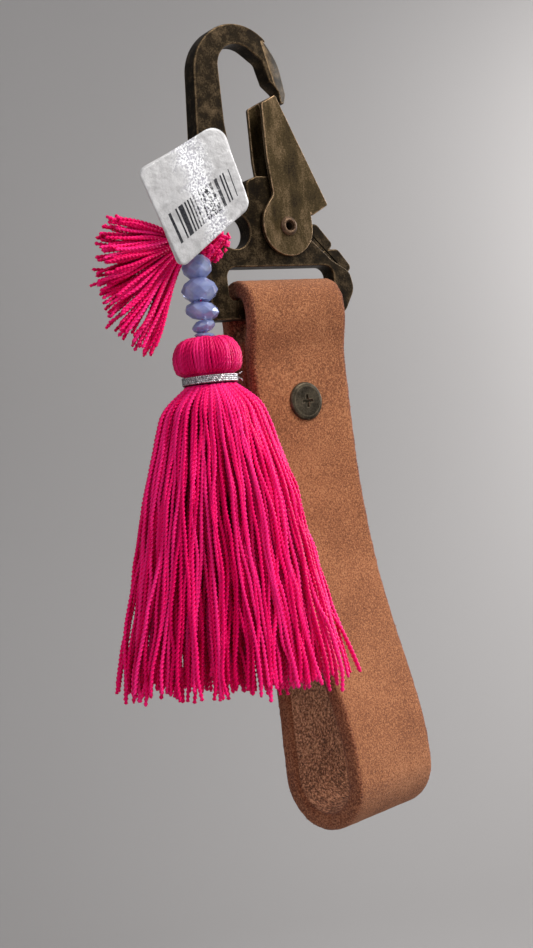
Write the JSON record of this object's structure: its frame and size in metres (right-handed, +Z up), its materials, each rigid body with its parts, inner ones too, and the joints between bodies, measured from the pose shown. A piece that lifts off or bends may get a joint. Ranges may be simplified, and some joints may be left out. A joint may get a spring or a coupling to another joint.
{
  "type": "wristlet keychain",
  "caption": "Antique brass snap hook with a sprung gate, a folded leather wrist strap closed by a screw, and a beaded thread tassel tied to the hook.",
  "frame": {"origin": "centre of the round inside of the hook's bow, halfway through the plate", "axes": "+Z up toward the bow, -Y out of the hook's front face, +X toward the gate"},
  "size_m": [0.067, 0.0335, 0.1623],
  "materials": {
    "antique_brass": "antique brass plate over zinc alloy, dark in the hollows, worn brighter on edges",
    "gate_brass": "antique brass plated sheet, brushed and mottled, bright cut edges",
    "rivet_brass": "antique brass hollow rivet, darker than the gate",
    "spring_steel": "plain spring wire",
    "leather": "tan nubuck leather, matt and grainy, raw edges and a fuzzy flesh side",
    "screw_metal": "dark antique brass, satin",
    "pink_thread": "hot pink twisted rayon thread with a soft sheen",
    "bead_glass": "milky lavender blue faceted glass",
    "silver_thread": "metallic silver thread, tightly wound",
    "paper": "white glossy paper label, creased"
  },
  "bodies": {
    "root": {"hook_body": "antique_brass", "gate_spring": "spring_steel", "thread_loop": "pink_thread", "small_tassel_loops": "pink_thread"},
    "gate": {"gate_lever": "gate_brass", "gate_rivet": "rivet_brass"},
    "strap": {"wrist_strap": "leather", "screw": "screw_metal", "screw_post": "screw_metal"},
    "knot": {"thread_knot": "pink_thread", "small_tassel": "pink_thread"},
    "tassel": {"bead_thread": "pink_thread", "tassel_head": "pink_thread", "neck_band": "silver_thread", "tassel_skirt": "pink_thread"},
    "tag": {"price_tag": "paper"},
    "bead_1": {"bead_1": "bead_glass"},
    "bead_2": {"bead_2": "bead_glass"},
    "bead_3": {"bead_3": "bead_glass"},
    "bead_4": {"bead_4": "bead_glass"},
    "bead_5": {"bead_5": "bead_glass"}
  },
  "joints": [
    {"name": "gate_pivot", "type": "hinge", "parent": "root", "child": "gate", "pos_m": [0.0069, 0, -0.0324], "axis": [0, -1, 0], "range_deg": [0, 24], "stiffness_Nm_per_rad": 0.03, "springref_deg": -34.38, "deforming": ["gate_spring"]},
    {"name": "strap_swing", "type": "hinge", "parent": "root", "child": "strap", "pos_m": [0, 0, -0.049], "axis": [1, 0, 0], "range_deg": [0, 95]},
    {"name": "charm_side_swing", "type": "hinge", "parent": "root", "child": "knot", "pos_m": [-0.0175, -0.005, -0.0369], "axis": [0, 1, 0], "range_deg": [0, 25]},
    {"name": "charm_fore_swing", "type": "hinge", "parent": "knot", "child": "tassel", "pos_m": [-0.0175, -0.005, -0.0369], "axis": [-1, 0, 0], "range_deg": [0, 30]},
    {"name": "tag_tilt", "type": "hinge", "parent": "root", "child": "tag", "pos_m": [-0.0237, -0.0107, -0.0369], "axis": [0.8821, 0, 0.4711], "range_deg": [0, 20]},
    {"name": "bead_1_spin", "type": "hinge", "parent": "tassel", "child": "bead_1", "pos_m": [-0.0175, -0.005, -0.045], "axis": [0, 0, 1], "continuous": true},
    {"name": "bead_2_spin", "type": "hinge", "parent": "tassel", "child": "bead_2", "pos_m": [-0.0175, -0.005, -0.045], "axis": [0, 0, 1], "continuous": true},
    {"name": "bead_3_spin", "type": "hinge", "parent": "tassel", "child": "bead_3", "pos_m": [-0.0175, -0.005, -0.045], "axis": [0, 0, 1], "continuous": true},
    {"name": "bead_4_spin", "type": "hinge", "parent": "tassel", "child": "bead_4", "pos_m": [-0.0175, -0.005, -0.045], "axis": [0, 0, 1], "continuous": true},
    {"name": "bead_5_spin", "type": "hinge", "parent": "tassel", "child": "bead_5", "pos_m": [-0.0175, -0.005, -0.045], "axis": [0, 0, 1], "continuous": true}
  ]
}
